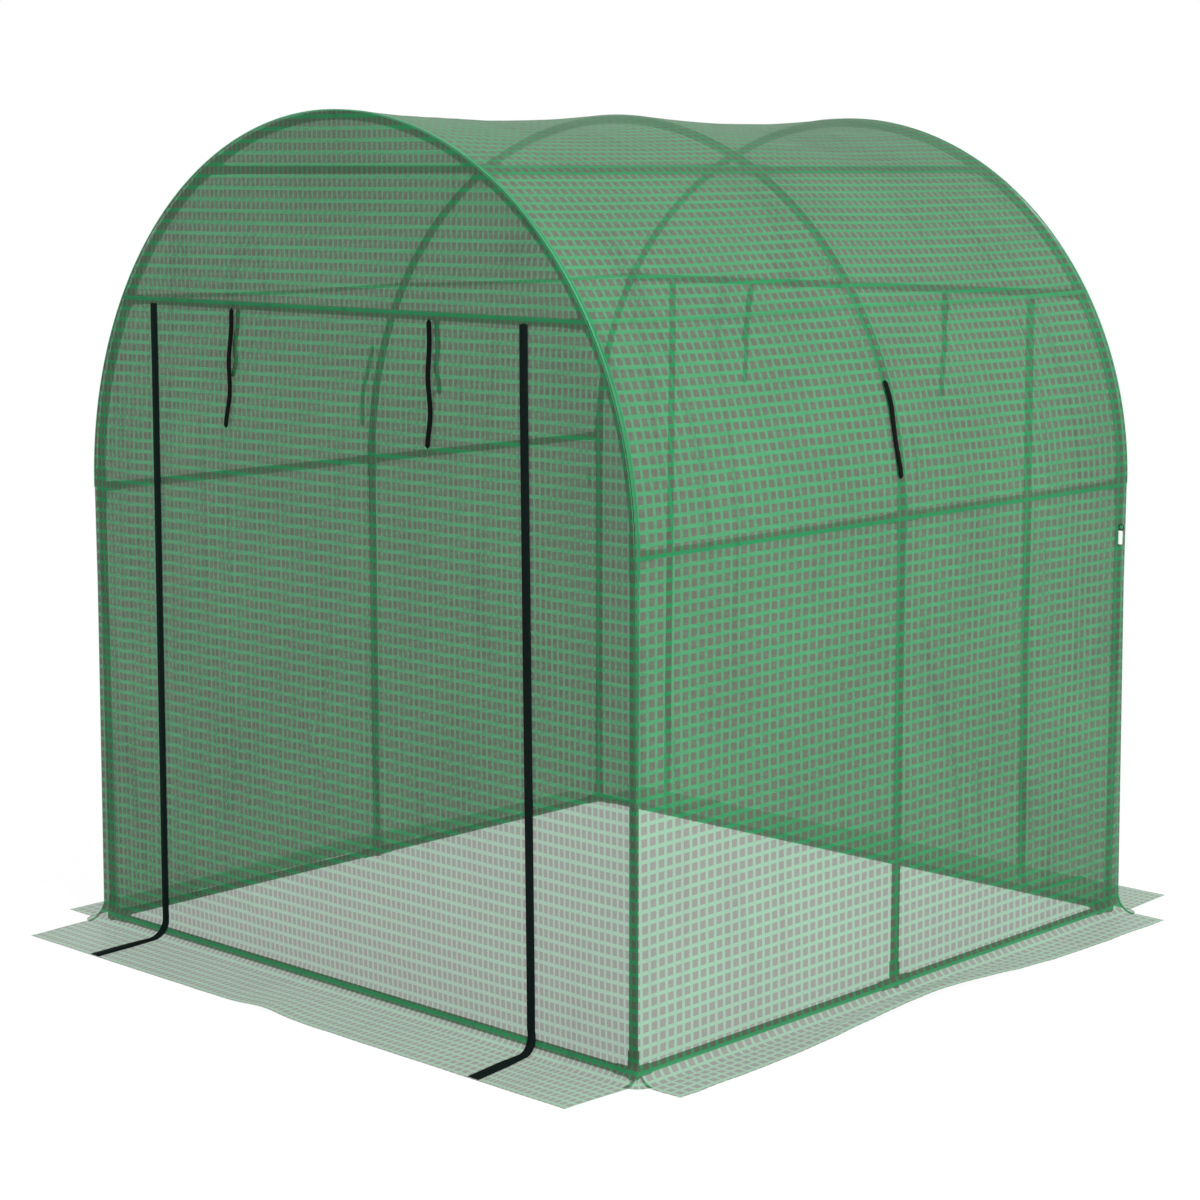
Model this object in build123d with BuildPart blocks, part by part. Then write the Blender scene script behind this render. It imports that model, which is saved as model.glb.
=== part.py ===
from build123d import *
from math import asin, cos, degrees, radians, sin
import os

os.makedirs("parts", exist_ok=True)

# Driving dimensions of the tube frame, in millimetres. The front, with its door, faces -Y.
frame_width = 1780
frame_length = 1780
spring_rise = 1085
header_rise = 1549
purlin_angle = 60
tube_od = 19
tube_wall = 1.2
tube_sides = 12

# Push-fit connectors that the tubes slot into
sleeve_wall = 1.7
socket_clearance = 0.3
socket_length = 48
socket_stop = 12
tube_end_gap = 0.3
clip_reach = 24

# Cover film, its skirts on the ground and the door openings
film = 2
cover_clearance = 0.3
front_skirt_reach = 222
side_skirt_reach = 142
skirt_bend = 45
front_door_left = 655
front_door_right = 600
rear_door_left = 626
rear_door_right = 611
door_clearance = 0.5

# Zips along both sides of each door, tie tapes and corner toggles
zip_width = 24
zip_thickness = 2
trim_clearance = 0.3
tie_width = 15
tie_thickness = 1.5
tie_length = 276
tie_drop = 14
front_tie_left = 358
front_tie_right = 313
rear_tie_left = 330
rear_tie_right = 330
inner_tie_length = 200
inner_tie_shift = 8
side_tie_low_angle = 5.6
side_tie_high_angle = 19.8
side_tie_shift = 26
toggle_diameter = 11
toggle_length = 34
toggle_edge = 1.5
toggle_height = 965
toggle_inset = 22
loop_radius = 7
loop_cord = 3
loop_sides = 6

# Sizes that follow from those above
hoop_radius = frame_width / 2
half_length = frame_length / 2
bore = tube_od + 2 * socket_clearance
sleeve_od = bore + 2 * sleeve_wall
rail_z = sleeve_od / 2
spring_z = rail_z + spring_rise
header_z = rail_z + header_rise
header_angle = degrees(asin((header_z - spring_z) / hoop_radius))
tube_start = socket_stop + tube_end_gap
cover_gap = sleeve_od / 2 + cover_clearance
cover_x = hoop_radius + cover_gap
cover_y = half_length + cover_gap
film_x = cover_x + film / 2
film_y = cover_y + film / 2
hoop_rows = {"front": -half_length, "middle": 0, "rear": half_length}
sides = {"left": -1, "right": 1}


def arc_degrees(distance, radius=hoop_radius):
    """Angle that an arc of this length takes up on a hoop."""
    return degrees(distance / radius)


def tube_outline(radius, mode=Mode.ADD):
    """Outline of a tube, socket or bore, drawn with few sides and a flat one down."""
    return RegularPolygon(radius, tube_sides, major_radius=False, rotation=180 / tube_sides, mode=mode)


def hoop_plane(angle, y, radius=hoop_radius):
    """Plane square to a hoop, angle degrees above its right-hand spring."""
    x = radius * cos(radians(angle))
    z = spring_z + radius * sin(radians(angle))
    tangent = (-sin(radians(angle)), 0, cos(radians(angle)))
    return Plane(origin=(x, y, z), x_dir=(0, 1, 0), z_dir=tangent)


def hoop_axis(y):
    """Axis that a hoop's arcs turn about, from the right-hand spring to the left."""
    return Axis((0, y, spring_z), (0, -1, 0))


def keep(piece, label):
    """Names a finished piece and writes it."""
    piece.label = label
    export_step(piece, f"parts/{label}.step")


# Straight tubes
def straight_tube(start, end):
    """Round tube from one point to another."""
    run = Vector(*end) - Vector(*start)
    with BuildPart() as tube:
        with BuildSketch(Plane(origin=start, z_dir=run)):
            tube_outline(tube_od / 2)
            tube_outline(tube_od / 2 - tube_wall, Mode.SUBTRACT)
        extrude(amount=run.length)
    return tube.part


for row, y in hoop_rows.items():
    for side, sign in sides.items():
        x = sign * hoop_radius
        leg = straight_tube((x, y, rail_z + tube_start), (x, y, spring_z - tube_start))
        keep(leg, f"{row}_{side}_leg")

for side, sign in sides.items():
    rail_lines = {
        "ground_rail": (sign * hoop_radius, rail_z),
        "side_rail": (sign * hoop_radius, spring_z),
        "purlin": (
            sign * hoop_radius * cos(radians(purlin_angle)),
            spring_z + hoop_radius * sin(radians(purlin_angle)),
        ),
    }
    for kind, (x, z) in rail_lines.items():
        front_rail = straight_tube((x, -half_length + tube_start, z), (x, -tube_start, z))
        keep(front_rail, f"{side}_front_{kind}")
        rear_rail = straight_tube((x, tube_start, z), (x, half_length - tube_start, z))
        keep(rear_rail, f"{side}_rear_{kind}")

header_x = hoop_radius * cos(radians(header_angle))
header_lean = (1 + sin(radians(header_angle))) / cos(radians(header_angle))
header_start = tube_od / 2 * header_lean + tube_end_gap
for row in ("front", "rear"):
    y = hoop_rows[row]
    ground_end = hoop_radius - tube_start
    keep(straight_tube((-ground_end, y, rail_z), (ground_end, y, rail_z)), f"{row}_ground_rail")
    header_end = header_x - header_start
    keep(straight_tube((-header_end, y, header_z), (header_end, y, header_z)), f"{row}_header_rail")


# Hoops, each of three bent tubes that meet inside the purlin connectors
arc_start = arc_degrees(tube_start)
hoop_spans = [
    (arc_start, purlin_angle - arc_start),
    (purlin_angle + arc_start, 180 - purlin_angle - arc_start),
    (180 - purlin_angle + arc_start, 180 - arc_start),
]
for row, y in hoop_rows.items():
    with BuildPart() as hoop:
        for start, end in hoop_spans:
            with BuildSketch(hoop_plane(start, y)):
                tube_outline(tube_od / 2)
                tube_outline(tube_od / 2 - tube_wall, Mode.SUBTRACT)
            revolve(axis=hoop_axis(y), revolution_arc=end - start)
    keep(hoop.part, f"{row}_hoop")


# Connectors
def straight_sockets(centre, directions, radius, start, mode=Mode.ADD):
    """Bars along each direction, from start out to the socket's mouth."""
    for direction in directions:
        foot = Vector(*centre) + Vector(*direction) * start
        with BuildSketch(Plane(origin=foot, z_dir=direction)) as section:
            tube_outline(radius)
        extrude(section.sketch, amount=socket_length - start, mode=mode)


def arc_socket(y, start, end, radius, mode=Mode.ADD):
    """Bar along a hoop, between two angles."""
    with BuildSketch(hoop_plane(start, y)) as section:
        tube_outline(radius)
    revolve(section.sketch, axis=hoop_axis(y), revolution_arc=end - start, mode=mode)


def inward(y):
    """Directions along Y in which rails leave a hoop."""
    if y == 0:
        return [(0, 1, 0), (0, -1, 0)]
    return [(0, -1 if y > 0 else 1, 0)]


socket_arc = arc_degrees(socket_length)
stop_arc = arc_degrees(socket_stop)
clip_arc = arc_degrees(clip_reach)

with BuildPart() as corner_connectors:
    for y in (-half_length, half_length):
        for sign in sides.values():
            centre = (sign * hoop_radius, y, rail_z)
            arms = [(0, 0, 1), (-sign, 0, 0)] + inward(y)
            straight_sockets(centre, arms, sleeve_od / 2, -sleeve_od / 2)
            straight_sockets(centre, arms, bore / 2, socket_stop, Mode.SUBTRACT)
keep(corner_connectors.part, "corner_connectors")

with BuildPart() as ground_tees:
    for sign in sides.values():
        centre = (sign * hoop_radius, 0, rail_z)
        arms = [(0, 0, 1)] + inward(0)
        straight_sockets(centre, arms, sleeve_od / 2, -sleeve_od / 2)
        straight_sockets(centre, arms, bore / 2, socket_stop, Mode.SUBTRACT)
keep(ground_tees.part, "ground_tees")

with BuildPart() as side_rail_connectors:
    for y in hoop_rows.values():
        for sign in sides.values():
            centre = (sign * hoop_radius, y, spring_z)
            arms = [(0, 0, -1)] + inward(y)
            spring = 0 if sign > 0 else 180
            low, high = sorted((spring, spring + sign * socket_arc))
            bore_low, bore_high = sorted((spring + sign * stop_arc, spring + sign * socket_arc))
            straight_sockets(centre, arms, sleeve_od / 2, 0)
            arc_socket(y, low, high, sleeve_od / 2)
            straight_sockets(centre, arms, bore / 2, socket_stop, Mode.SUBTRACT)
            arc_socket(y, bore_low, bore_high, bore / 2, Mode.SUBTRACT)
keep(side_rail_connectors.part, "side_rail_connectors")

with BuildPart() as purlin_connectors:
    for y in hoop_rows.values():
        for angle in (purlin_angle, 180 - purlin_angle):
            centre = hoop_plane(angle, y).origin
            arms = inward(y)
            arc_socket(y, angle - socket_arc, angle + socket_arc, sleeve_od / 2)
            straight_sockets(centre, arms, sleeve_od / 2, 0)
            arc_socket(y, angle - socket_arc, angle - stop_arc, bore / 2, Mode.SUBTRACT)
            arc_socket(y, angle + stop_arc, angle + socket_arc, bore / 2, Mode.SUBTRACT)
            straight_sockets(centre, arms, bore / 2, socket_stop, Mode.SUBTRACT)
keep(purlin_connectors.part, "purlin_connectors")

with BuildPart() as header_clips:
    for y in (-half_length, half_length):
        for sign in sides.values():
            angle = header_angle if sign > 0 else 180 - header_angle
            centre = hoop_plane(angle, y).origin
            arms = [(-sign, 0, 0)]
            arc_socket(y, angle - clip_arc, angle + clip_arc, sleeve_od / 2)
            straight_sockets(centre, arms, sleeve_od / 2, 0)
            arc_socket(y, angle - socket_arc, angle + socket_arc, bore / 2, Mode.SUBTRACT)
            straight_sockets(centre, arms, bore / 2, socket_stop, Mode.SUBTRACT)
keep(header_clips.part, "header_clips")


# Cover: roof, roll-up sides, end panels and doors
wall_foot = film / 2 + skirt_bend


def skirt_path(wall, top, reach, lift=0):
    """Line down a wall, round the bend and out over the ground, lift outside the film."""
    line_z = film / 2 + lift
    bend_x = wall + lift
    flat_x = wall + skirt_bend
    Line((bend_x, top), (bend_x, wall_foot))
    TangentArc((bend_x, wall_foot), (flat_x, line_z), tangent=(0, -1))
    Line((flat_x, line_z), (wall - film / 2 + reach, line_z))


def outward_plane(x):
    """Plane across X whose own x runs outward from the front and y runs up."""
    return Plane(origin=(x, 0, 0), x_dir=(0, -1, 0), z_dir=(-1, 0, 0))


def placed_at(row, piece):
    """The piece where it stands, at the front, or its mirror image at the rear."""
    return piece if row == "front" else mirror(piece, about=Plane.XZ)


with BuildPart() as roof_cover:
    with BuildSketch(Plane.XZ):
        with BuildLine():
            CenterArc((0, spring_z), film_x, header_angle, 180 - 2 * header_angle)
        trace(line_width=film)
    extrude(amount=cover_y, both=True)
keep(roof_cover.part, "roof_cover")

side_top_angle = header_angle - arc_degrees(door_clearance)
with BuildPart() as right_side_cover:
    with BuildSketch(Plane.XZ):
        with BuildLine():
            CenterArc((0, spring_z), film_x, 0, side_top_angle)
            skirt_path(film_x, spring_z, side_skirt_reach)
        trace(line_width=film)
    extrude(amount=cover_y, both=True)
keep(right_side_cover.part, "right_side_cover")

with BuildPart() as left_side_cover:
    mirror(right_side_cover.part, about=Plane.YZ)
keep(left_side_cover.part, "left_side_cover")

panel_x = cover_x + film
door_sides = {
    "front": (-front_door_left, front_door_right),
    "rear": (-rear_door_left, rear_door_right),
}
for row, (left, right) in door_sides.items():
    with BuildPart() as end_panel:
        with BuildSketch(Plane(origin=(0, -cover_y, 0), x_dir=(1, 0, 0), z_dir=(0, -1, 0))):
            with BuildLine():
                foot_corners = [(-panel_x, wall_foot), (panel_x, wall_foot)]
                Polyline((-panel_x, spring_z), *foot_corners, (panel_x, spring_z))
                CenterArc((0, spring_z), panel_x, 0, 180)
            make_face()
            with Locations(((left + right) / 2, (wall_foot + header_z) / 2)):
                Rectangle(right - left, header_z - wall_foot, mode=Mode.SUBTRACT)
        extrude(amount=film)
        for start, end in ((-panel_x, left), (right, panel_x)):
            with BuildSketch(outward_plane(end)):
                with BuildLine():
                    skirt_path(film_y, wall_foot + film, front_skirt_reach)
                trace(line_width=film)
            extrude(amount=end - start)
        for sign in sides.values():
            with BuildSketch(outward_plane(sign * panel_x)):
                with BuildLine():
                    TangentArc((film_y, wall_foot), (film_y + skirt_bend, film / 2), tangent=(0, -1))
                trace(line_width=film)
            revolve(axis=Axis((sign * panel_x, -cover_y, 0), (0, 0, sign)), revolution_arc=90)
    keep(placed_at(row, end_panel.part), f"{row}_panel")

    with BuildPart() as door:
        with BuildSketch(outward_plane(right - door_clearance)):
            with BuildLine():
                skirt_path(film_y, header_z - door_clearance, front_skirt_reach)
            trace(line_width=film)
        extrude(amount=right - left - 2 * door_clearance)
    keep(placed_at(row, door.part), f"{row}_door")


# Zips over the gaps at both sides of each door
zip_lift = film / 2 + trim_clearance + zip_thickness / 2
for row, edges in door_sides.items():
    with BuildPart() as zips:
        for x in edges:
            with BuildSketch(outward_plane(x + zip_width / 2)):
                with BuildLine():
                    skirt_path(film_y, header_z, front_skirt_reach, zip_lift)
                trace(line_width=zip_thickness)
            extrude(amount=zip_width)
    keep(placed_at(row, zips.part), f"{row}_zips")

# Tie tapes, one outside and one inside at each place
tie_top = header_z - tie_drop
outer_tie_y = -cover_y - film - trim_clearance - tie_thickness / 2
inner_tie_y = -cover_y + trim_clearance + tie_thickness / 2
tie_places = {
    "front": (-front_tie_left, front_tie_right),
    "rear": (-rear_tie_left, rear_tie_right),
}
for row, places in tie_places.items():
    with BuildPart() as ties:
        for x in places:
            with Locations((x, outer_tie_y, tie_top - tie_length / 2)):
                Box(tie_width, tie_thickness, tie_length)
            with Locations((x + inner_tie_shift, inner_tie_y, tie_top - inner_tie_length / 2)):
                Box(tie_width, tie_thickness, inner_tie_length)
    keep(placed_at(row, ties.part), f"{row}_ties")

side_tie_radius = cover_x + film + trim_clearance + tie_thickness / 2
with BuildPart() as side_ties:
    with BuildSketch(Plane(origin=(0, -side_tie_shift, 0), x_dir=(1, 0, 0), z_dir=(0, -1, 0))):
        with BuildLine():
            CenterArc(
                (0, spring_z),
                side_tie_radius,
                side_tie_low_angle,
                side_tie_high_angle - side_tie_low_angle,
            )
        trace(line_width=tie_thickness)
    extrude(amount=tie_width / 2, both=True)
    mirror(about=Plane.YZ)
keep(side_ties.part, "side_ties")

# Toggles on cord loops at the rear corners, where the rolled sides fasten
toggle_x = cover_x + film + trim_clearance + toggle_diameter / 2
toggle_y = half_length - toggle_inset
with BuildPart() as toggles:
    for sign in sides.values():
        foot = (sign * toggle_x, toggle_y, toggle_height - toggle_length / 2)
        with BuildSketch(Plane(origin=foot, z_dir=(0, 0, 1))):
            tube_outline(toggle_diameter / 2)
        extrude(amount=toggle_length)
    chamfer(toggles.faces().filter_by(Axis.Z).edges(), toggle_edge)
keep(toggles.part, "toggles")

loop_z = toggle_height + toggle_length / 2 + trim_clearance + loop_radius + loop_cord / 2
loop_x = cover_x + film + trim_clearance + loop_radius + loop_cord / 2
with BuildPart() as toggle_loops:
    for sign in sides.values():
        with BuildSketch(Plane(origin=(sign * loop_x, toggle_y, loop_z + loop_radius), z_dir=(1, 0, 0))):
            RegularPolygon(loop_cord / 2, loop_sides)
        revolve(axis=Axis((sign * loop_x, toggle_y, loop_z), (0, 1, 0)))
keep(toggle_loops.part, "toggle_loops")
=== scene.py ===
import math

import bmesh
import bpy
import numpy as np
from mathutils import Euler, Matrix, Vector


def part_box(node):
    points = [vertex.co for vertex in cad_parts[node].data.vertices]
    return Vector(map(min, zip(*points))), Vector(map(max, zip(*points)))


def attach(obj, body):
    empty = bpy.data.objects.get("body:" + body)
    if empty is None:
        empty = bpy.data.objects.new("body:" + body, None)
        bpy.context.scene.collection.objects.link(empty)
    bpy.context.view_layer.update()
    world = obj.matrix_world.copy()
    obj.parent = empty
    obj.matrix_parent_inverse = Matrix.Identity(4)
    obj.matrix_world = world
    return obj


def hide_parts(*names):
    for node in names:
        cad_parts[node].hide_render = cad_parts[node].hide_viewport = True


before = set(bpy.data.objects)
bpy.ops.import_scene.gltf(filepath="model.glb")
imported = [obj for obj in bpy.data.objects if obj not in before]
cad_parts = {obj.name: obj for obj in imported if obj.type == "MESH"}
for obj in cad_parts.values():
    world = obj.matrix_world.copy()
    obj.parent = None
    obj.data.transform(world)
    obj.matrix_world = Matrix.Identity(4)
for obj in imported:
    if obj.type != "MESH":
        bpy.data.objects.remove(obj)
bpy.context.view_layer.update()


# Places taken from the frame
def middle(node):
    """The middle of a node's box."""
    low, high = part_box(node)
    return (low + high) / 2


hoop_y = -middle("front_right_leg").y
spring_z = middle("right_front_side_rail").z
purlin_angle = math.atan2(middle("right_front_purlin").z - spring_z, middle("right_front_purlin").x)
header_z = middle("front_header_rail").z
film_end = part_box("roof_cover")[1].y
roof_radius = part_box("roof_cover")[1].z - spring_z
front_skirt_end = -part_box("front_panel")[0].y
side_skirt_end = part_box("right_side_cover")[1].x

# Film sizes, in metres
film = 0.002
wall = roof_radius - film / 2
bend = 0.045
foot_z = film / 2 + bend
foot_flare = 0.012
flare_height = 0.8
mesh_step = 0.0145
header_angle = math.asin((header_z - spring_z) / wall)
seam_width = 0.012
edge_width = 0.005
rim_width = 0.0025
weld = 0.0012
strip_step = 0.02
bend_rows = 9
seed = 20
random = np.random.default_rng(seed)


# Materials
def new_material(name):
    """An empty material, and its tree."""
    material = bpy.data.materials.new(name)
    material.use_nodes = True
    material.node_tree.nodes.clear()
    return material, Tree(material.node_tree)


class Tree:
    """Short calls to add nodes to a material and link them."""

    def __init__(self, tree):
        self.tree = tree

    def add(self, kind, inputs=None, **settings):
        node = self.tree.nodes.new("ShaderNode" + kind)
        for name, value in settings.items():
            setattr(node, name, value)
        for name, value in (inputs or {}).items():
            self.put(value, node.inputs[name])
        return node

    def put(self, value, socket):
        if isinstance(value, bpy.types.NodeSocket):
            self.tree.links.new(value, socket)
        else:
            socket.default_value = value

    def math(self, operation, *values):
        node = self.add("Math", operation=operation)
        for value, socket in zip(values, node.inputs):
            self.put(value, socket)
        return node.outputs[0]

    def mix_colour(self, factor, first, second, blend_type="MIX"):
        node = self.add("Mix", data_type="RGBA", blend_type=blend_type)
        for value, socket in zip((factor, first, second), (node.inputs[0], node.inputs[6], node.inputs[7])):
            self.put(value, socket)
        return node.outputs[2]

    def remap(self, value, start, stop, low, high):
        """The value's way from start to stop, read as a way from low to high and held between them."""
        inputs = {"Value": value, "From Min": start, "From Max": stop, "To Min": low, "To Max": high}
        return self.add("MapRange", inputs).outputs[0]

    def step(self, value, edge, softness):
        """0 below the edge and 1 above it, over a short slope."""
        inputs = {"Value": value, "From Min": edge - softness, "From Max": edge + softness}
        return self.add("MapRange", inputs, interpolation_type="SMOOTHSTEP").outputs[0]

    def noise(self, vector, scale, detail=2.0, roughness=0.5):
        inputs = {"Vector": vector, "Scale": scale, "Detail": detail, "Roughness": roughness}
        return self.add("TexNoise", inputs).outputs[0]

    def mix_shader(self, share, first, second):
        """Node that mixes the shaders of two nodes, with the share of the second."""
        node = self.add("MixShader", {"Fac": share})
        self.put(first.outputs[0], node.inputs[1])
        self.put(second.outputs[0], node.inputs[2])
        return node

    def bump(self, height, strength, distance):
        inputs = {"Height": height, "Strength": strength, "Distance": distance}
        return self.add("Bump", inputs).outputs[0]

    def finish(self, shader, output="OutputMaterial"):
        """End the tree with the shader of a node."""
        self.put(shader.outputs[0], self.add(output).inputs["Surface"])


# How much each part of the film hides, the relief of its scrim, and painted shade along thin crease lines
bar_colour = (0.030, 0.390, 0.138, 1)
cell_colour = (0.138, 0.142, 0.106, 1)
seam_colour = (0.070, 0.420, 0.190, 1)
bar_cover = 0.64
cell_cover = 0.74
seam_cover = 0.84
bar_softness = 0.0004
bar_height = 0.0002
thread_pitch = 0.0013
thread_height = 0.10
cloud_scale = 3.0
cloud_levels = (0.90, 1.08)
# The crease lines are painted shade: they darken the film's colour in patches, and the bump does not follow
# them
painted_crease_stretch = (5.0, 0.7, 1.0)
painted_crease_half_width = 0.018
painted_crease_patch_scale = 2.4
painted_crease_patch_edge = 0.52
painted_crease_patch_softness = 0.06
painted_crease_shade = 0.15
film_roughness = 0.42
film_specular = 0.18
film_through = 0.28


def film_material(name, pitch, bars, painted_crease_lean):
    """Clear film over a scrim of green tapes, which cross at the pitch and are as wide as bars says."""
    material, tree = new_material(name)
    weave = tree.add("UVMap", uv_map="weave").outputs[0]
    apart = tree.add("SeparateXYZ", {"Vector": weave})
    in_cell = []
    for socket, step, width in zip(apart.outputs, pitch, bars):
        off_line = tree.math("PINGPONG", socket, step / 2)
        in_cell.append(tree.step(off_line, width / 2, bar_softness))
    seam = tree.add("Attribute", attribute_name="seam").outputs["Fac"]
    cell = tree.math("MULTIPLY", tree.math("MULTIPLY", *in_cell), tree.math("SUBTRACT", 1.0, seam))

    # A cloudy uneven tone, times painted shade along thin crease lines in patches
    shade = tree.remap(tree.noise(weave, cloud_scale, 3.0), 0.3, 0.7, *cloud_levels)
    mapping = {"Vector": weave, "Rotation": (0, 0, painted_crease_lean), "Scale": painted_crease_stretch}
    streaks = tree.noise(tree.add("Mapping", mapping).outputs[0], 1.0, 0.0)
    ridge = tree.math("ABSOLUTE", tree.math("SUBTRACT", streaks, 0.5))
    painted_crease_lines = tree.math("SUBTRACT", 1.0, tree.step(ridge, painted_crease_half_width, painted_crease_half_width))
    painted_crease_patches = tree.step(tree.noise(weave, painted_crease_patch_scale, 0.0), painted_crease_patch_edge, painted_crease_patch_softness)
    darker = tree.math("MULTIPLY", tree.math("MULTIPLY", painted_crease_lines, painted_crease_patches), painted_crease_shade)
    tone_and_painted_shade = tree.math("MULTIPLY", shade, tree.math("SUBTRACT", 1.0, darker))
    grey = tree.add("CombineXYZ", {"X": tone_and_painted_shade, "Y": tone_and_painted_shade, "Z": tone_and_painted_shade}).outputs[0]
    plain = tree.mix_colour(seam, tree.mix_colour(cell, bar_colour, cell_colour), seam_colour)
    colour = tree.mix_colour(1.0, plain, grey, "MULTIPLY")
    cover = tree.remap(cell, 0.0, 1.0, bar_cover, cell_cover)
    cover = tree.math("MAXIMUM", cover, tree.math("MULTIPLY", seam, seam_cover))

    threads = [tree.math("PINGPONG", socket, thread_pitch / 2) for socket in apart.outputs[:2]]
    height = tree.math("ADD", tree.math("MULTIPLY", tree.math("SUBTRACT", 1.0, cell), bar_height),
                       tree.math("MULTIPLY", tree.math("MAXIMUM", *threads), thread_height))
    normal = tree.bump(height, 0.6, 1.0)
    front = tree.add("BsdfPrincipled", {"Base Color": colour, "Roughness": film_roughness, "Normal": normal,
                                        "Specular IOR Level": film_specular})
    back = tree.add("BsdfTranslucent", {"Color": colour, "Normal": normal})
    body = tree.mix_shader(film_through, front, back)
    clear = tree.add("BsdfTransparent")
    tree.finish(tree.mix_shader(cover, clear, body))
    return material


def shaded(colour, share):
    """The colour, darker or lighter by a share, with its alpha."""
    return tuple(share * part for part in colour) + (1,)


def painted_material(name, colour, roughness):
    """Powder coat or moulded plastic: a fine orange peel and slightly uneven gloss."""
    material, tree = new_material(name)
    place = tree.add("TexCoord").outputs["Object"]
    cloud = tree.noise(place, 14.0, 3.0)
    peel = tree.noise(place, 900.0, 1.0)
    tone = tree.mix_colour(cloud, shaded(colour, 0.75), shaded(colour, 1.25))
    gloss = tree.remap(cloud, 0.0, 1.0, roughness - 0.08, roughness + 0.1)
    tree.finish(tree.add("BsdfPrincipled", {"Base Color": tone, "Roughness": gloss, "Coat Weight": 0.15,
                                            "Normal": tree.bump(peel, 0.25, 0.0004)}))
    return material


def cloth_material(name, colour, rib):
    """Woven tape with ribs across it, read along the piece's own length."""
    material, tree = new_material(name)
    weave = tree.add("UVMap", uv_map="weave").outputs[0]
    apart = tree.add("SeparateXYZ", {"Vector": weave})
    ribs = [tree.math("PINGPONG", socket, rib / 2) for socket in apart.outputs[:2]]
    height = tree.math("DIVIDE", tree.math("ADD", *ribs), rib)
    cloud = tree.noise(weave, 60.0, 2.0)
    tone = tree.mix_colour(cloud, shaded(colour, 0.6), shaded(colour, 1.6))
    tree.finish(tree.add("BsdfPrincipled", {"Base Color": tone, "Roughness": 0.8,
                                            "Specular IOR Level": 0.08,
                                            "Normal": tree.bump(height, 0.5, 0.0004)}))
    return material


end_film = film_material("end_film", pitch=(0.0164, 0.0262), bars=(0.0051, 0.0085), painted_crease_lean=0.6)
side_film = film_material("side_film", pitch=(0.0262, 0.0262), bars=(0.0085, 0.0087), painted_crease_lean=0.25)
tube_paint = painted_material("tube_paint", (0.015, 0.060, 0.035), roughness=0.38)
connector_paint = painted_material("connector_paint", (0.012, 0.042, 0.026), roughness=0.45)
toggle_plastic = painted_material("toggle_plastic", (0.82, 0.84, 0.80), roughness=0.30)
loop_cloth = painted_material("loop_cloth", (0.004, 0.005, 0.005), roughness=0.75)
zip_cloth = cloth_material("zip_cloth", (0.0022, 0.0075, 0.0065), rib=0.0011)
tie_cloth = cloth_material("tie_cloth", (0.0020, 0.0022, 0.0022), rib=0.0014)

# Frame parts, toggles and loops keep their CAD shape
paint_of = {"connectors": connector_paint, "tees": connector_paint, "clips": connector_paint,
            "toggles": toggle_plastic, "loops": loop_cloth}
for name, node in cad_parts.items():
    node.data.materials.clear()
    node.data.materials.append(paint_of.get(name.split("_")[-1], tube_paint))
    node.data.shade_smooth()
    node.data.set_sharp_from_angle(angle=math.radians(40))


# Meshes
def add_piece(name, patches, material, replaced):
    """A film, tape or webbing piece made of patches, which stands for a node of the frame."""
    mesh = grid_mesh(name, patches)
    piece = bpy.data.objects.new(name, mesh)
    bpy.context.scene.collection.objects.link(piece)
    mesh.materials.append(material)
    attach(piece, "root")
    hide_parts(replaced)
    return piece


def patch(points, across, along, seam=0.0):
    """One grid of points with its weave coordinates and its seam share, for grid_mesh."""
    return points, np.stack(np.broadcast_arrays(across, along), -1), seam


def grid_mesh(name, patches):
    """One smooth mesh of several patches, joined where their edges meet."""
    points = []
    weaves = []
    seams = []
    faces = []
    start = 0
    for place, weave, seam in patches:
        rows, columns = place.shape[:2]
        corner = start + np.arange(rows - 1)[:, None] * columns + np.arange(columns - 1)
        around = [corner, corner + 1, corner + columns + 1, corner + columns]
        faces.append(np.stack(around, -1).reshape(-1, 4))
        points.append(place.reshape(-1, 3))
        weaves.append(weave.reshape(-1, 2))
        seams.append(np.broadcast_to(seam, (rows, columns)).ravel())
        start += rows * columns
    points = np.concatenate(points)
    weaves = np.concatenate(weaves)
    seams = np.concatenate(seams)
    faces = np.concatenate(faces)
    mesh = bpy.data.meshes.new(name)
    mesh.from_pydata(points.tolist(), [], faces.tolist())
    layer = mesh.uv_layers.new(name="weave")
    layer.uv.foreach_set("vector", weaves[faces.ravel()].astype(np.float32).ravel())
    attribute = mesh.attributes.new("seam", "FLOAT", "POINT")
    attribute.data.foreach_set("value", seams.astype(np.float32))
    work = bmesh.new()
    work.from_mesh(mesh)
    bmesh.ops.remove_doubles(work, verts=work.verts, dist=1e-5)
    bmesh.ops.dissolve_degenerate(work, edges=work.edges, dist=1e-6)
    work.to_mesh(mesh)
    work.free()
    mesh.shade_smooth()
    return mesh


def spaced(start, end, step=mesh_step):
    """Even places from start to end, about a step apart."""
    return np.linspace(start, end, max(2, round(abs(end - start) / step) + 1))


def creases(across, along, count, height, width, length, lean, spread):
    """Heights of soft folds scattered over a sheet, lean radians off its length."""
    total = np.zeros(np.broadcast(across, along).shape)
    low_a, high_a, low_b, high_b = across.min(), across.max(), along.min(), along.max()
    for _ in range(count):
        a = random.uniform(low_a, high_a)
        b = random.uniform(low_b, high_b)
        turn = lean + random.normal(0, spread)
        reach = length * random.uniform(0.5, 1.3)
        thick = width * random.uniform(0.6, 1.5)
        rise = height * random.uniform(0.4, 1.0)
        off = (across - a) * math.cos(turn) + (along - b) * math.sin(turn)
        on = (along - b) * math.cos(turn) - (across - a) * math.sin(turn)
        bow = off + 0.12 * on * on / reach
        total += rise * np.exp(-(bow / thick) ** 2) * np.exp(-(on / reach) ** 4)
    return total


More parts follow.
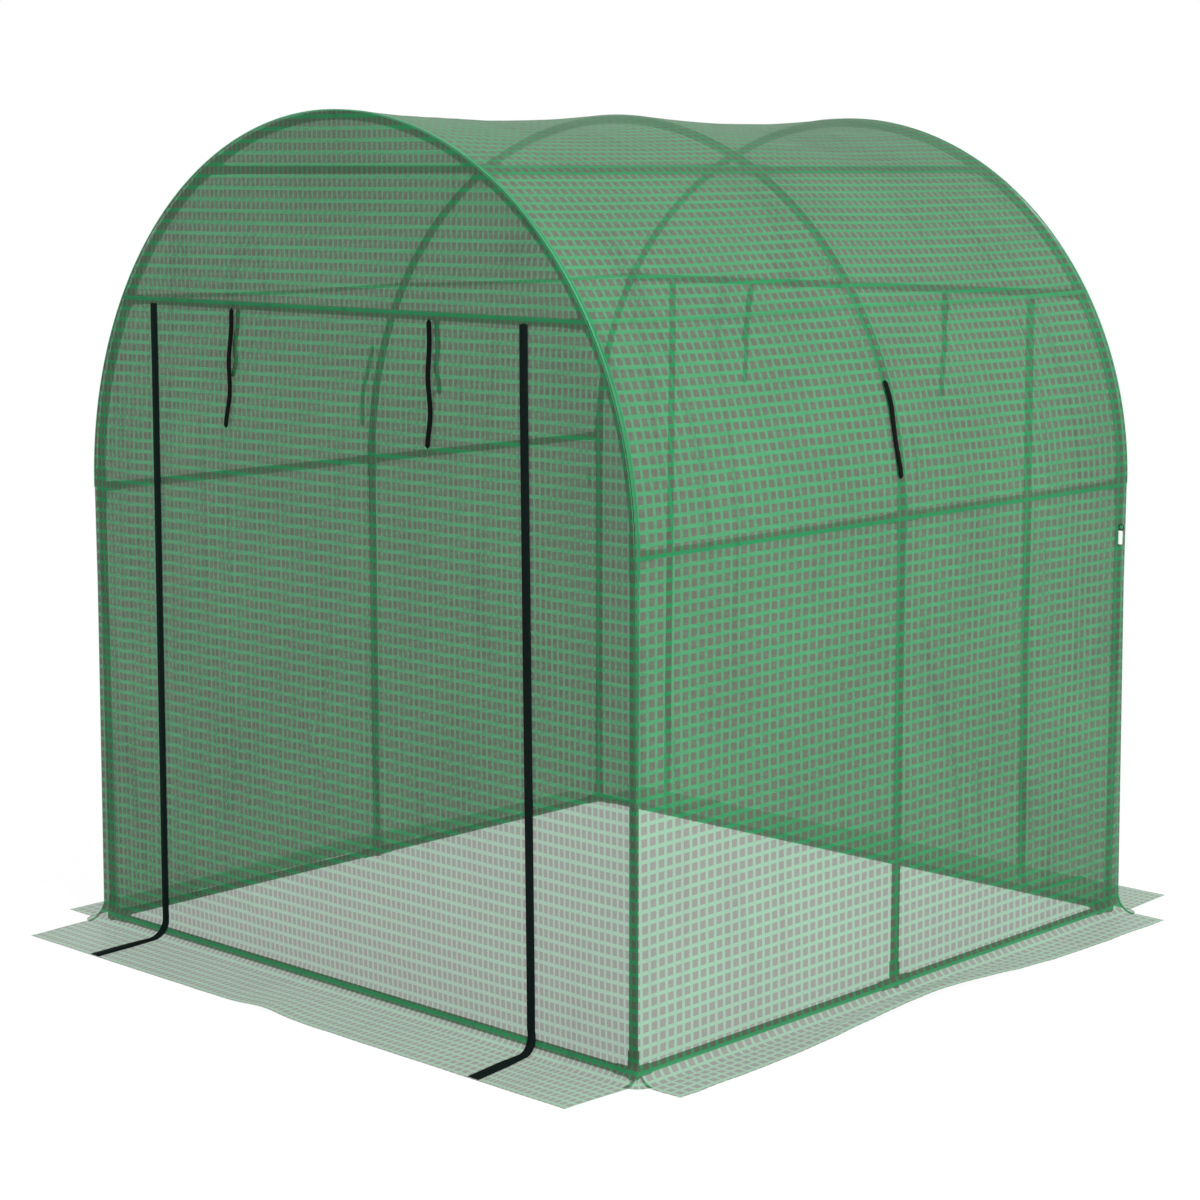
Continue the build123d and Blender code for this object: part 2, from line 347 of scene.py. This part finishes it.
def waves(across, along, count, height, longest):
    """Gentle long waves over a sheet."""
    total = np.zeros(np.broadcast(across, along).shape)
    for _ in range(count):
        turn = random.uniform(0, math.pi)
        wavelength = longest * random.uniform(0.4, 1.0)
        phase = random.uniform(0, 2 * math.pi)
        way = across * math.cos(turn) + along * math.sin(turn)
        total += np.sin(2 * math.pi * way / wavelength + phase)
    return height * total / math.sqrt(count)


def bay_sag(y):
    """0 over each hoop and past the last ones, and 1 halfway between two."""
    share = np.abs(y) / hoop_y
    return np.clip(4 * share * (1 - share), 0, None)


def bump_between(value, low, high):
    """0 at low and high and outside them, and 1 halfway."""
    share = np.clip((value - low) / (high - low), 0, 1)
    return np.sin(math.pi * share)


# The path of an end or side wall: down the wall, round the bend and out over the ground.
# It is measured as v, which is 0 where the bend starts.
bend_length = bend * math.pi / 2


def wall_path(v):
    """How far out from the wall, and how high, a point at v on the path lies."""
    turn = np.clip(-v / bend, 0, math.pi / 2)
    flat = np.clip(-v - bend_length, 0, None)
    out = bend * (1 - np.cos(turn)) + flat
    height = foot_z + np.clip(v, 0, None) - bend * np.sin(turn)
    return out, height


def skirt_share(v, reach):
    """0 halfway round the bend and above it, and 1 near the outer edge of a skirt that ends at reach."""
    return np.clip((-v - 0.5 * bend_length) / (reach - bend), 0, 1)


def foot_out(v, reach):
    """How far the film stands further out near the foot of a wall, which fades away over the skirt."""
    return foot_flare * np.clip(1 - v / flare_height, 0, 1) * (1 - skirt_share(v, reach))


def skirt_rows(reach, step=mesh_step):
    """Path values over a skirt and its bend, from its outer edge to the wall."""
    flat = reach - bend
    return np.concatenate([
        np.linspace(-bend_length - flat, -bend_length, round(flat / step) + 1)[:-1],
        np.linspace(-bend_length, 0, bend_rows),
    ])


# Roof
side_crown_sag = 0.012
crown_sag = 0.019


def arch_sag(angle, y):
    """How far inside the hoops' own circle the film lies between them."""
    crown = bump_between(angle, purlin_angle, math.pi - purlin_angle) ** 0.8
    right = bump_between(angle, 0, purlin_angle)
    left = bump_between(math.pi - angle, 0, purlin_angle)
    return bay_sag(y) * (crown_sag * crown + side_crown_sag * (right + left))


wall_top_v = spring_z - foot_z
seam_v = wall_top_v + wall * header_angle

angle = spaced(header_angle, math.pi - header_angle, mesh_step / wall)[:, None]
y = spaced(-film_end, film_end)[None, :]
angle, y = np.broadcast_arrays(angle, y)
arc = seam_v + wall * (angle - header_angle)
radius = wall - arch_sag(angle, y)
folds = waves(y, arc, count=6, height=0.0008, longest=0.5)
folds += creases(y, arc, count=26, height=0.0022, width=0.010, length=0.16, lean=math.pi / 2, spread=0.5)
seam_calm = 0.12
calm = np.clip((angle - header_angle) / seam_calm, 0, 1)
calm = calm * np.clip((math.pi - header_angle - angle) / seam_calm, 0, 1)
radius += folds * bay_sag(y) * calm
roof_points = np.stack([radius * np.cos(angle), y, spring_z + radius * np.sin(angle)], -1)


def arc_strip(angles, y_places, lift, seam):
    """A narrow band of film, welded on along the arch or across it, plain where seam is 1."""
    angle, y = np.broadcast_arrays(np.asarray(angles)[:, None], np.asarray(y_places)[None, :])
    radius = wall + lift - arch_sag(angle, y)
    points = np.stack([radius * np.cos(angle), y, spring_z + radius * np.sin(angle)], -1)
    return patch(points, y, wall * angle, seam)


seam_share = 0.25
patches = [patch(roof_points, y, arc)]
edge_ends = [(-film_end - weld / 2, edge_width - film_end), (film_end - edge_width, film_end + weld / 2)]
hem_angles = spaced(header_angle, math.pi - header_angle, strip_step)
for edge_places in edge_ends:
    patches.append(arc_strip(hem_angles, edge_places, weld, 1.0))
for low in (header_angle, math.pi - header_angle - seam_width / wall):
    seam_angles = (low, low + seam_width / wall)
    patches.append(arc_strip(seam_angles, spaced(-film_end, film_end), weld, seam_share))
roof = add_piece("roof_cover_sheet", patches, side_film, "roof_cover")


# Roll-up sides with their skirts
side_reach = side_skirt_end - wall
side_skirt_dip = 0.025
side_skirt_lift = 0.018
skirt_overhang = 0.014
dip_front = 0.38
dip_rear = 0.29
side_tautness = 0.004


def along_side(y, v):
    """Where along a side a point lies: the skirts run a little past the walls."""
    return y * (1 + skirt_overhang / film_end * np.clip(-v / bend_length, 0, 1))


def side_patch(sign, lean):
    """A side from its skirt's outer edge up to the roof seam, with creases that lean."""
    wall_v = spaced(0, wall_top_v)
    arch_v = wall_top_v + wall * spaced(0, header_angle, mesh_step / wall)
    v = np.concatenate([skirt_rows(side_reach), wall_v[1:], arch_v[1:]])[:, None]
    y = spaced(-film_end, film_end)[None, :]
    v, y = np.broadcast_arrays(v, y)
    out, height = wall_path(np.minimum(v, wall_top_v))
    on_skirt = skirt_share(v, side_reach)
    hollow = np.exp(-(y / np.where(y < 0, dip_front, dip_rear)) ** 2)
    out = out + foot_out(v, side_reach) - side_skirt_dip * hollow * on_skirt ** 2
    height = height + side_skirt_lift * hollow * on_skirt ** 2
    ripple = waves(y, v, count=5, height=0.0012, longest=0.35) * np.clip(on_skirt * 3, 0, 1)
    height = height + np.abs(ripple)
    angle = np.clip((v - wall_top_v) / wall, 0, None)
    sag = arch_sag(angle, y)
    wall_share = bump_between(v, 0, wall_top_v)
    folds = waves(y, v, count=6, height=0.0016, longest=0.6)
    folds += creases(y, v, count=22, height=0.0030, width=0.012, length=0.20, lean=lean, spread=0.35)
    calm = bump_between(angle, 0, header_angle) * (angle > 0)
    inset = sag - (folds - side_tautness) * bay_sag(y) * (wall_share + calm)
    inset = np.where(v > 0, inset, 0)
    x = (wall + out - inset) * np.cos(angle)
    z = height + (wall + out - inset) * np.sin(angle)
    return patch(np.stack([sign * x, along_side(y, v), z], -1), y, v)


for side, sign, lean in (("left", -1, 0.5), ("right", 1, 0.2)):
    patches = [side_patch(sign, lean)]
    angles = spaced(0, header_angle, strip_step)
    hem = (angles / header_angle)[:, None]
    for edge_places in edge_ends:
        patches.append(arc_strip(angles if sign > 0 else math.pi - angles, edge_places, weld, hem))
    v, y = np.broadcast_arrays(np.linspace(-bend_length, 0, bend_rows)[:, None], np.array([edge_ends[1]]))
    out, height = wall_path(v)
    out = out + foot_out(v, side_reach)
    points = np.stack([sign * (wall + out + weld), along_side(y, v), height + weld], -1)
    patches.append(patch(points, y, v, 1.0))
    add_piece(f"{side}_side_sheet", patches, side_film, f"{side}_side_cover")


# Ends: fixed panel round the door, and the zipped door
end_reach = front_skirt_end - wall
ends = {"front": -1, "rear": 1}
door_edges = {}
for end in ends:
    low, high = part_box(f"{end}_door")
    door_edges[end] = (low.x, high.x)


def arch_top(x):
    """Height of the arch over a place across an end."""
    return spring_z + np.sqrt(np.clip(wall ** 2 - x ** 2, 0, None))


def edge_columns(start, end):
    """Columns between two places across an end, closer together near the arch's foot."""
    low, high = math.asin(np.clip(start / wall, -1, 1)), math.asin(np.clip(end / wall, -1, 1))
    return wall * np.sin(np.linspace(low, high, max(2, round(abs(end - start) / mesh_step) + 1)))


zip_top_shift = -0.0085
zip_foot_shift = 0.005
zip_flares = (-0.008, 0.041)
zip_reach = 0.15
zip_shift_span = (0.07, 1.37)
skirt_ridge = 0.008
skirt_ridge_x = -0.03
skirt_ridge_width = 0.08


def zip_shift(x, v, edges):
    """How far the zips draw the film sideways. They lean in at the top and run out over the skirt."""
    on_skirt = np.clip(-v / (end_reach - bend + bend_length), 0, 1)
    total = np.zeros(np.broadcast(x, v).shape)
    for edge, flare in zip(edges, zip_flares):
        outward = np.interp(v, zip_shift_span, (zip_foot_shift, zip_top_shift))
        outward = outward + (flare - zip_foot_shift) * on_skirt
        total = total + math.copysign(1, edge) * outward * np.clip(1 - np.abs(x - edge) / zip_reach, 0, 1)
    return total


def end_surface(x, v, sign, fold, lift=0.0):
    """Points of an end wall or its skirt at x and v, with folds that stand out from it, raised by lift."""
    out, z = wall_path(v)
    turn = np.clip(-v / bend, 0, math.pi / 2)
    out = out + lift * np.cos(turn)
    z = z + lift * np.sin(turn)
    x = x + zip_shift(x, v, door_edges["front" if sign < 0 else "rear"])
    on_skirt = skirt_share(v, end_reach)
    rise = skirt_ridge * np.exp(-((x - skirt_ridge_x) / skirt_ridge_width) ** 2) * on_skirt ** 2
    flare = np.clip(-v / bend_length, 0, 1)
    near_corner = np.clip((np.abs(x) - wall + zip_reach) / zip_reach, 0, 1)
    x_out = x * (1 + skirt_overhang / wall * flare) + np.sign(x) * near_corner * foot_out(v, end_reach)
    z = z + rise + np.abs(fold) * np.clip(3 * on_skirt, 0, 1) * 0.5
    out = out + np.where(v > 0, fold, 0)
    return np.stack([x_out, sign * (wall + out), z], -1)


header_v = header_z - foot_z
edge_calm = 0.08
header_calm = 0.06
foot_calm = 0.10
zip_calm = 0.05
bulge = 0.002
slack_height = 0.6
slack_x = -0.3
slack_v = 0.4
slack_width = 0.3


def off_zips(x, edges):
    """0 at the two zips and 1 a little way from them."""
    return np.prod([np.clip(np.abs(x - edge) / zip_calm - 0.3, 0, 1) for edge in edges], axis=0)


def end_folds(x, v, edges, count, height, lean):
    """Folds of an end wall, which stand outwards and end at the arch, the header, the zips and the foot."""
    inside = np.clip((wall - np.abs(x)) / edge_calm, 0, 1)
    inside = inside * np.clip((arch_top(x) - foot_z - v) / edge_calm, 0, 1)
    inside = inside * np.where(v < header_v, off_zips(x, edges), 1)
    inside = inside * np.clip(np.abs(v - header_v) / header_calm, 0, 1)
    foot = np.clip(v / foot_calm, 0, 1)
    flat = waves(x, v, count=6, height=0.0014, longest=0.6)
    flat += creases(x, v, count, height, width=0.011, length=0.17, lean=lean, spread=0.35)
    return np.abs(flat) * inside * foot + bulge * inside * foot


def skirt_folds(x, v, edges):
    """Ripples of the skirt of an end, which stop at the zips."""
    return waves(x, v, count=4, height=0.0010, longest=0.3) * off_zips(x, edges)


def end_patch(x, v, sign, fold):
    """A patch of an end at x and v, with its folds."""
    return patch(end_surface(x, v, sign, fold), x, v)


header_x = math.sqrt(wall ** 2 - (header_z - spring_z) ** 2)
for end, sign in ends.items():
    edges = door_edges[end]
    left, right = edges
    patches = []
    for start, stop in ((-wall, left), (right, wall)):
        x = edge_columns(start, stop)[None, :]
        x_skirt, v = np.broadcast_arrays(x, skirt_rows(end_reach)[:, None])
        patches.append(end_patch(x_skirt, v, sign, skirt_folds(x_skirt, v, edges)))
        share = np.linspace(0, 1, round(header_v / mesh_step) + 1)[:, None]
        v = share * (np.minimum(arch_top(x), header_z) - foot_z)
        x = np.broadcast_to(x, v.shape)
        patches.append(end_patch(x, v, sign, end_folds(x, v, edges, count=3, height=0.002, lean=0.3)))
    columns = [edge_columns(-header_x, left)]
    columns += [edge_columns(left, right)[1:], edge_columns(right, header_x)[1:]]
    x = np.concatenate(columns)[None, :]
    share = np.linspace(0, 1, round((wall - header_z + spring_z) / mesh_step) + 1)[:, None]
    v = header_v + share * np.clip(arch_top(x) - header_z, 0, None)
    x = np.broadcast_to(x, v.shape)
    patches.append(end_patch(x, v, sign, end_folds(x, v, edges, count=6, height=0.0015, lean=1.2)))
    for side in (-1, 1):
        quarter = np.linspace(0, math.pi / 2, bend_rows)
        quarter, drop = np.meshgrid(quarter, np.linspace(-bend_length, 0, bend_rows))
        out, height = wall_path(drop)
        x_gusset = side * (wall + foot_out(drop, end_reach) + out * np.cos(quarter))
        points = np.stack([x_gusset, sign * (wall + out * np.sin(quarter)), height], -1)
        patches.append(patch(points, quarter * bend, drop))
    turn, radius = np.meshgrid(spaced(0, math.pi, strip_step), (wall - rim_width, wall + weld / 2))
    points = np.stack([radius * np.cos(turn), np.full(turn.shape, sign * (wall + weld)),
                       spring_z + radius * np.sin(turn)], -1)
    patches.append(patch(points, turn * wall, radius, 1.0))
    panel = f"{end}_panel"
    add_piece(f"{panel}_sheet", patches, end_film, panel)

    v = np.concatenate([skirt_rows(end_reach), spaced(0, header_v)[1:]])[:, None]
    x, v = np.broadcast_arrays(edge_columns(left, right)[None, :], v)
    skirt_fold = skirt_folds(x, v, edges)
    looser = 1 + np.exp(-((x - slack_x) / slack_width) ** 2 - ((v - slack_v) / slack_width) ** 2)
    slack = np.clip((header_v - v) / slack_height, 0.2, 1) * looser
    fold = np.where(v > 0, slack * end_folds(x, v, edges, count=34, height=0.0050, lean=0.5), skirt_fold)
    patches = [end_patch(x, v, sign, fold)]
    door = f"{end}_door"
    add_piece(f"{door}_sheet", patches, end_film, door)


# Zips, ties and side ties
def tape(path, across, outward, width, thickness):
    """A closed flat tape along a path, drawn to a point at each end, for grid_mesh."""
    corners = np.array([(-1, 0), (1, 0), (1, 1), (-1, 1), (-1, 0)])
    length = np.concatenate([[0], np.cumsum(np.linalg.norm(np.diff(path, axis=0), axis=1))])
    open_share = np.ones(len(path))
    open_share[[0, -1]] = 0
    points = path[:, None] + open_share[:, None, None] * (
        corners[:, :1] * width / 2 * across[:, None] + corners[:, 1:] * thickness * outward[:, None])
    return patch(points, width * np.array([0, 1, 1, 0, 0.5]), length[:, None])


# A zip's profile, with its coil between two tapes: places across it and out from the film, in mm
zip_profile = np.array([(-12, 0.1), (-12, 1), (-3.4, 1), (-3.0, 2), (-1.6, 3), (1.6, 3), (3.0, 2), (3.4, 1),
                        (12, 1), (12, 0.1), (-12, 0.1)]) / 1000
coil_pitch = 0.0036
coil_half_width = 0.0031
coil_low = 0.7
zip_lift = 0.0018
zip_spread = 0.35
zip_top_v = header_v - 0.004
tie_width = 0.014
tie_thickness = 0.0014
tie_lift = 0.006
inner_tie_shift = 0.011

# Heights of the top and foot of the outer and inner ties, and where they hang across each end
outer_tie = (1.556, 1.276)
inner_tie = (1.556, 1.395)
tie_places = {"front": (-0.349, 0.312), "rear": (-0.330, 0.330)}
tie_slants = (-0.023, -0.002)
tie_wave = 0.0035
tie_points = 40
side_tie_lift = 0.004


def hanging_path(x_top, slant, span, sign, lift):
    """Points of a tie that hangs down an end wall, a little crooked."""
    share = np.linspace(0, 1, tie_points)
    top, foot = span
    phase = random.uniform(0, 2 * math.pi)
    sway = tie_wave * (np.sin(9 * share + phase) - math.sin(phase)) * share ** 0.5
    x = x_top + slant * share + sway
    y = sign * (wall + lift + 0.0015 * np.sin(13 * share + phase))
    return np.stack([x, y, top + (foot - top) * share], -1)


def fixed(path, direction):
    """The same direction at every point of a path."""
    return np.broadcast_to(np.array(direction, float), path.shape)


for end, sign in ends.items():
    patches = []
    for edge in door_edges[end]:
        v = np.arange(-(end_reach - bend + bend_length), zip_top_v, coil_pitch / 2)[:, None]
        across, height = zip_profile.T[:, None, :]
        between = (np.abs(across) < coil_half_width) & (np.arange(len(v)) % 2 == 0)[:, None]
        across, height, v = np.broadcast_arrays(across, height, v)
        height = np.where(between, coil_low * height, height)
        points = end_surface(np.full(v.shape, edge), v, sign, 0 * v, zip_lift)
        turn = np.clip(-v / bend, 0, math.pi / 2)
        spread = 1 + zip_spread * np.clip(-v / bend_length - 1, 0, 1)
        relief = [across * spread, sign * height * np.cos(turn), height * np.sin(turn)]
        points = points + np.stack(relief, -1)
        points[[0, -1]] = points[[0, -1]].mean(axis=1, keepdims=True)
        patches.append(patch(points, across, v))
    zips = add_piece(f"{end}_zip_tapes", patches, zip_cloth, f"{end}_zips")

    patches = []
    for x_top, slant in zip(tie_places[end], tie_slants):
        for span, lift, beside in ((outer_tie, tie_lift, 0.0), (inner_tie, -tie_lift, inner_tie_shift)):
            path = hanging_path(x_top + beside, slant, span, sign, lift)
            across, outward = fixed(path, (1, 0, 0)), fixed(path, (0, sign, 0))
            patches.append(tape(path, across, outward, tie_width, tie_thickness))
    ties = add_piece(f"{end}_tie_tapes", patches, tie_cloth, f"{end}_ties")

    left, right = door_edges[end]

low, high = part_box("side_ties")
side_tie_angles = (math.asin((high.z - spring_z) / wall), math.asin((low.z - spring_z) / wall))
side_tie_y = (low.y + high.y) / 2
patches = []
for sign in (-1, 1):
    share = np.linspace(0, 1, tie_points)
    angle = side_tie_angles[0] + (side_tie_angles[1] - side_tie_angles[0]) * share
    radius = wall + side_tie_lift
    y = side_tie_y + tie_wave * np.sin(8 * share)
    outward = np.stack([sign * np.cos(angle), 0 * angle, np.sin(angle)], -1)
    path = radius * outward + np.stack([0 * y, y, 0 * y + spring_z], -1)
    patches.append(tape(path, fixed(path, (0, 1, 0)), outward, tie_width, tie_thickness))
side_ties = add_piece("side_tie_tapes", patches, tie_cloth, "side_ties")


# Camera
camera_place = Vector((4.606, -4.928, 1.887))
camera_azimuth = math.radians(43.35)
camera_pitch = math.radians(9.08)
camera_data = bpy.data.cameras.new("camera")
camera_data.sensor_width = 36
camera_data.lens = 82.35
camera = bpy.data.objects.new("camera", camera_data)
camera.location = camera_place
camera.rotation_euler = Euler((math.pi / 2 - camera_pitch, 0, camera_azimuth))
bpy.context.scene.collection.objects.link(camera)
bpy.context.scene.camera = camera


# Floor and light
floor_size = 60
floor_glow = 1.06
floor_share = 0.86
floor_colour = (0.82, 0.82, 0.82, 1)
white = (1, 1, 1, 1)
twice_veiled = 0.52
world_light = 0.83


def seen_as_white(tree):
    """Whether camera, gloss or glass sees the backdrop, and how bright: less behind two films or more."""
    path = tree.add("LightPath")
    mirrored = tree.math("MAXIMUM", path.outputs["Is Glossy Ray"], path.outputs["Is Transmission Ray"])
    seen = tree.math("MAXIMUM", path.outputs["Is Camera Ray"], mirrored)
    return seen, tree.remap(path.outputs["Transparent Depth"], 1.0, 2.0, 1.0, twice_veiled)


floor_mesh = bpy.data.meshes.new("floor")
floor_corners = [(-1, -1), (1, -1), (1, 1), (-1, 1)]
floor_mesh.from_pydata([(floor_size * x, floor_size * y, 0) for x, y in floor_corners], [], [(0, 1, 2, 3)])
floor_material, ground = new_material("floor")
seen, seen_strength = seen_as_white(ground)
pale = ground.add("BsdfDiffuse", {"Color": floor_colour})
glow_strength = ground.math("MULTIPLY", seen_strength, floor_glow)
glow = ground.add("Emission", {"Color": white, "Strength": glow_strength})
ground.finish(ground.mix_shader(ground.math("MULTIPLY", seen, floor_share), pale, glow))
floor_mesh.materials.append(floor_material)
floor = bpy.data.objects.new("floor", floor_mesh)
bpy.context.scene.collection.objects.link(floor)

world = bpy.data.worlds.new("world")
world.use_nodes = True
bpy.context.scene.world = world
world.node_tree.nodes.clear()
sky = Tree(world.node_tree)
seen, seen_strength = seen_as_white(sky)
strength = sky.remap(seen, 0.0, 1.0, world_light, seen_strength)
sky.finish(sky.add("Background", {"Color": white, "Strength": strength}), "OutputWorld")

lamp_target = Vector((0, 0, 1))
lamp_data = bpy.data.lights.new("key", "AREA")
lamp_data.shape = "DISK"
lamp_data.size = 3.0
lamp_data.energy = 340
lamp = bpy.data.objects.new("key", lamp_data)
lamp.location = Vector((5.5, -1.5, 5.0))
lamp.rotation_euler = (lamp_target - lamp.location).to_track_quat("-Z", "Y").to_euler()
bpy.context.scene.collection.objects.link(lamp)
bpy.context.scene.view_settings.view_transform = "Standard"
